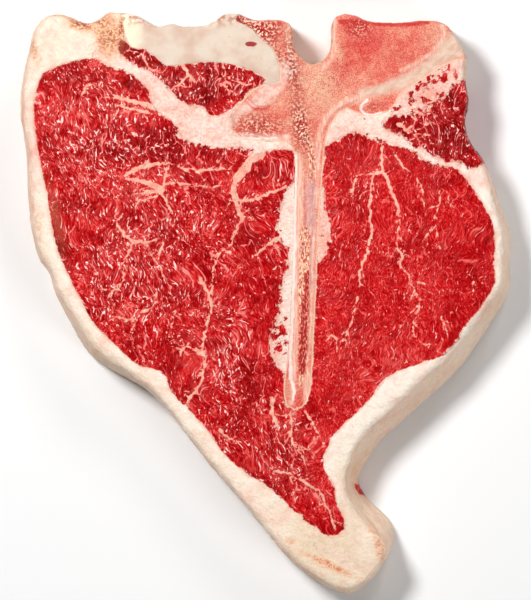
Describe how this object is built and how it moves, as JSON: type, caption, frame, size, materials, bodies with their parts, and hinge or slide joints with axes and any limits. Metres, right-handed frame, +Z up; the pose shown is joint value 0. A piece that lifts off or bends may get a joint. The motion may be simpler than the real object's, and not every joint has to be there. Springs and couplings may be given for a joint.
{
  "type": "raw t-bone steak",
  "caption": "Raw T-bone steak: a thick slice of beef loin with its T-shaped bone, strip loin, tenderloin, flank tail, seams of fat and a pale fat rim.",
  "frame": {"origin": "below the middle of the outline, on the surface that the lower cut face lies on", "axes": "+Z up through the thickness, +Y from the flank tail to the sawn chine edge, +X from the strip loin to the tenderloin"},
  "size_m": [0.1834, 0.2166, 0.0268],
  "materials": {
    "loin_meat": "wet raw meat, bright red, marbled with thin fat",
    "tenderloin_meat": "wet raw meat, fine grained, bright red",
    "dark_meat": "wet raw meat, dark crimson",
    "rim_fat": "firm cream fat, satin",
    "seam_fat": "soft pink-white fat, moist",
    "bone": "sawn spongy bone, salmon pink, moist",
    "cartilage": "smooth pearl-white cartilage, moist"
  },
  "bodies": {
    "root": {"bone": "bone", "spinous_cartilage": "cartilage", "strip_loin": "loin_meat", "flank_muscle": "loin_meat", "tenderloin": "tenderloin_meat", "multifidus": "dark_meat", "psoas_minor": "dark_meat", "back_fat": "rim_fat", "belly_fat": "rim_fat", "seam_fat": "seam_fat", "chine_fat": "seam_fat", "stem_fat_left": "seam_fat", "stem_fat_right": "seam_fat"}
  },
  "joints": []
}
